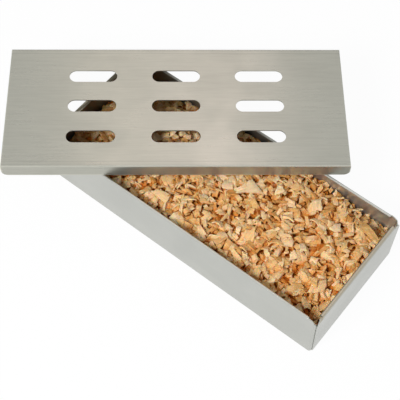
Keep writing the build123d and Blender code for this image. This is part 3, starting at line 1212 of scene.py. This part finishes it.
@dataclass
class ChipFilling:
    """The wood chips in the tray: four piles of loose chips over a bed of crumbs.

    The loose chips are strewn to past_walls beyond the heap and pressed back into it, and none stands
    above highest. The recess is how much further out they reach below the rims along X and Y, and the
    height below which they do. The crumbs' surface lies crumb_drop below the heap's.
    """

    heap: Heap
    recess: Triple
    variants: int = 10
    past_walls: float = 1.5 * MM
    highest: float = 37.0 * MM
    heap_cell: float = 6.0 * MM
    crumb_cell: float = 1.1 * MM
    crumb_drop: float = 4.2 * MM
    crumb_height: float = 1.2 * MM
    cells_in_crumb: float = 2.2
    crumb_tone: float = 0.5
    seed: int = 7
    seed_step: int = 100

    def build(self) -> None:
        """Make the crumbs and the piles, and seat them in the tray."""
        self._crumb_bed()
        tree = PileTree()
        finish = CHIP_WOOD.material()
        for index, kind in enumerate(ChipKind):
            self._pile(tree, kind, finish, self.seed + self.seed_step * index)
        self._picked(finish)

    def _crumb_bed(self) -> None:
        """Lay a closed block of crumbs, too small to show a grain, below the loose chips."""
        mesh = self.heap.grid("crumb_bed", self.crumb_cell, self.crumb_drop)
        names = ("tone", "level")
        for name in names:
            mesh.attributes.new(name, "FLOAT", "POINT")
        tone, level = (mesh.attributes[name].data for name in names)
        for vertex in mesh.vertices:
            level[vertex.index].value = vertex.co.z + self.crumb_drop
            lump = noise.noise(vertex.co / (self.cells_in_crumb * self.crumb_cell))
            tone[vertex.index].value = self.crumb_tone * (1 + lump)
            vertex.co.z += self.crumb_height * lump
        close_down_to(mesh, self.heap.floor)
        mesh.transform(Matrix.Rotation(TRAY_TURN, 4, "Z"))
        mesh.materials.append(CRUMB_WOOD.material())
        bed = put_in_scene("crumb_bed", mesh)
        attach(bed, "tray")
        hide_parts("chip_bed")
        log.info("crumb_bed: %d faces", len(mesh.polygons))

    def _picked(self, finish: Material) -> None:
        """Lay the chips that stand out in the photograph on the heap, as one mesh.

        Args:
            finish: the chips' material.
        """
        maker = ChipMaker(random.Random(self.seed))
        gathered = bmesh.new()
        layers = gathered.verts.layers.float
        tone = layers.new("tone")
        level = layers.new("level")
        for chip in PICKED_CHIPS:
            shape = maker.mesh("picked_chip", chip.form())
            x, y = (value * MM for value in chip.place)
            ground = self.heap.height(x, y)
            tipped = Matrix.Rotation(math.radians(-chip.tip), 4, "Y")
            spin = Matrix.Rotation(math.radians(chip.turn), 4, "Z") @ tipped
            shape.transform(Matrix.Translation((x, y, ground + chip.lift * MM)) @ spin)
            first = len(gathered.verts)
            gathered.from_mesh(shape)
            gathered.verts.ensure_lookup_table()
            for vertex in gathered.verts[first:]:
                vertex[tone] = chip.tone
                vertex[level] = ground
                vertex.co.x = max(-self.heap.half_length, min(vertex.co.x, self.heap.half_length))
                vertex.co.y = max(-self.heap.half_width, min(vertex.co.y, self.heap.half_width))
            bpy.data.meshes.remove(shape)
        mesh = bpy.data.meshes.new("picked_chips")
        gathered.to_mesh(mesh)
        gathered.free()
        mesh.transform(Matrix.Rotation(TRAY_TURN, 4, "Z"))
        mesh.materials.append(finish)
        picked = put_in_scene("picked_chips", mesh)
        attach(picked, "tray")
        log.info("picked_chips: %d chips", len(PICKED_CHIPS))

    def _prototypes(self, kind: ChipKind, seed: int) -> bpy.types.Collection:
        """Carve a few different chips of one kind.

        Args:
            kind: the kind of chips.
            seed: start of the random draws.

        Returns:
            A collection with the chips.
        """
        maker = ChipMaker(random.Random(seed))
        collection = bpy.data.collections.new(f"{kind.node}_shapes")
        for variant in range(self.variants):
            name = f"{kind.node}_shape_{variant}"
            collection.objects.link(bpy.data.objects.new(name, maker.mesh(name, kind.value)))
        return collection

    def _pile(self, tree: PileTree, kind: ChipKind, finish: Material, seed: int) -> None:
        """Strew one kind of chips over the heap, as one mesh.

        Args:
            tree: the nodes that strew them.
            kind: the kind of chips.
            finish: their material.
            seed: start of the random draws.
        """
        form = kind.value
        shapes = self._prototypes(kind, seed)
        carrier = put_in_scene("heap", self.heap.grid("heap", self.heap_cell, 0.0, self.past_walls))
        modifier = carrier.modifiers.new("strewn", "NODES")
        modifier.node_group = tree.tree
        area = 4 * (self.heap.half_length + self.past_walls) * (self.heap.half_width + self.past_walls)
        for name, value in {
            "Chips": shapes,
            "Variants": self.variants,
            "Density": form.count / area,
            "Spacing": form.spacing * MM,
            "Shallowest": form.layer[0] * MM,
            "Deepest": form.layer[1] * MM,
            "Darkest": form.tone[0],
            "Palest": form.tone[1],
            "Lean": math.radians(form.lean),
            "Wall": (self.heap.half_length, self.heap.half_width, self.highest),
            "Recess": self.recess,
            "Turn": TRAY_TURN,
            "Seed": seed,
            "Finish": finish,
        }.items():
            modifier[tree.sockets[name]] = value
        graph = bpy.context.evaluated_depsgraph_get()
        mesh = bpy.data.meshes.new_from_object(carrier.evaluated_get(graph), depsgraph=graph)
        for used in (carrier, *shapes.objects):
            bpy.data.objects.remove(used)
        bpy.data.collections.remove(shapes)
        pile = put_in_scene(f"{kind.node}_pile", mesh)
        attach(pile, "tray")
        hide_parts(kind.node)
        triangles = sum(len(face.vertices) - 2 for face in mesh.polygons)
        log.info("%s: %d triangles", pile.name, triangles)


def joined_copy(loose: Mesh) -> Mesh:
    """Copy a mesh, with its triangles joined where their corners meet, and shaded as before.

    Args:
        loose: the mesh, with a corner of its own for each smooth stretch of its surface.

    Returns:
        The copy.
    """
    numbers: dict[tuple[float, ...], int] = {}
    for vertex in loose.vertices:
        numbers.setdefault(tuple(vertex.co), len(numbers))
    joined = [numbers[tuple(vertex.co)] for vertex in loose.vertices]
    faces = [[joined[index] for index in face.vertices] for face in loose.polygons]
    mesh = bpy.data.meshes.new(loose.name)
    mesh.from_pydata(list(numbers), [], faces)
    for face, old in zip(mesh.polygons, loose.polygons):
        face.use_smooth = old.use_smooth
    mesh.normals_split_custom_set([corner.vector for corner in loose.corner_normals])
    return mesh


@dataclass(frozen=True)
class Hem:
    """Folded rims as the CAD node has them and as they are shown: less deep, and thicker at the ends."""

    built_depth: float = 5.0 * MM
    depth: float = 2.3 * MM
    built_end: float = 2.2 * MM
    end: float = 3.0 * MM
    side: float = 1.8 * MM
    tolerance: float = 0.01 * MM

    def shaped(self, point: Vector, corner: Vector) -> Vector:
        """Place of a point of the CAD node in the shown rims.

        Args:
            point: the point in the piece's own axes.
            corner: the piece's highest corner.

        Returns:
            The point's new place.
        """
        moved = point.copy()
        if abs(corner.z - self.built_depth - point.z) < self.tolerance:
            moved.z = corner.z - self.depth
        inward = corner.x - abs(point.x)
        in_hem = moved.z > corner.z - self.depth - self.tolerance
        if in_hem and inward < self.built_end + self.tolerance:
            moved.x = math.copysign(corner.x - inward * self.end / self.built_end, point.x)
        return moved


@dataclass(frozen=True)
class SheetPiece:
    """A folded piece of sheet steel: a CAD node and its finish.

    Where a hem is given, a copy with that hem is shown for the node.
    """

    node: str
    turn: float
    finish: SteelFinish
    hem: Hem | None = None
    slot: str = ""

    def own_box(self) -> tuple[Vector, Vector]:
        """Measure the piece in its own axes.

        Returns:
            Its lowest and its highest corner.
        """
        back = Matrix.Rotation(-self.turn, 3, "Z")
        points = [back @ vertex.co for vertex in frame["nodes"][self.node].data.vertices]
        low = Vector([min(point[axis] for point in points) for axis in range(3)])
        high = Vector([max(point[axis] for point in points) for axis in range(3)])
        return low, high

    def dress(self) -> None:
        """Give the piece its material."""
        low, high = self.own_box()
        mesh = frame["nodes"][self.node].data
        if self.hem is not None:
            mesh = self._rehemmed(mesh, high)
        mesh.materials.clear()
        mesh.materials.append(SteelCoat(self.finish, low, high, self.turn).material)
        log.info("%s: %s", self.node, self.finish.name)

    def _rehemmed(self, built: Mesh, corner: Vector) -> Mesh:
        """Put a copy with the shown hems in the CAD node's place.

        Args:
            built: the node's mesh.
            corner: its highest corner, in its own axes.

        Returns:
            The copy's mesh.
        """
        shown = built.copy()
        turn = Matrix.Rotation(self.turn, 3, "Z")
        back = turn.transposed()
        for vertex in shown.vertices:
            vertex.co = turn @ self.hem.shaped(back @ vertex.co, corner)
        mesh = joined_copy(shown)
        bpy.data.meshes.remove(shown)
        piece = put_in_scene(f"hemmed_{self.node}", mesh)
        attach(piece, self.node)
        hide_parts(self.node)
        return mesh


TRAY_STEEL = SteelFinish(
    name="matt_tray_steel",
    colour=(0.517, 0.522, 0.485),
    smudge_colour=(0.500, 0.507, 0.472),
    line_length=18 * MM,
    line_width=0.5 * MM,
    line_contrast=0.012,
    roughness=0.32,
    metallic=0.85,
    # Painted reflection on the rims.
    rim_height=2.5 * MM,
    front_rim_tint=(0.94, 0.82, 0.66),
    end_rim_tint=(0.76, 0.68, 0.57),
    # Painted shade on the inner sides.
    inner_gain=(0.45, 1.3),
)
LID_STEEL = SteelFinish(
    name="brushed_lid_steel",
    colour=(0.390, 0.388, 0.338),
    smudge_colour=(0.376, 0.375, 0.326),
    line_length=14 * MM,
    line_width=0.4 * MM,
    line_contrast=0.042,
    roughness=0.27,
    metallic=0.8,
    anisotropy=0.8,
    # Painted highlight on the folds.
    polish_gain=1.35,
    # Painted light on the flanges.
    flange_gain=1.12,
    press_marks=((3.6 * MM, -0.10), (2.7 * MM, 0.03), (1.4 * MM, -0.07)),
)


def main() -> None:
    """Build the camera, the studio and the pieces in order."""
    logging.basicConfig(level=logging.INFO, format="%(message)s")
    PhotoCamera().build()
    Studio().build()
    hem = Hem()
    tray = SheetPiece("tray", TRAY_TURN, TRAY_STEEL, hem, "tray_steel")
    lid = SheetPiece("lid", 0.0, LID_STEEL)
    tray.dress()
    lid.dress()
    low, high = tray.own_box()
    sheet = 0.6 * MM
    gap = 0.3 * MM
    chips_below_rim = 6.2 * MM
    heap = Heap(
        half_length=high.x - hem.end - gap,
        half_width=high.y - hem.side - gap,
        floor=low.z + sheet,
        level=high.z - chips_below_rim,
    )
    recess = (hem.end - sheet, hem.side - sheet, high.z - hem.depth - gap)
    ChipFilling(heap, recess).build()


if __name__ == "__main__":
    main()
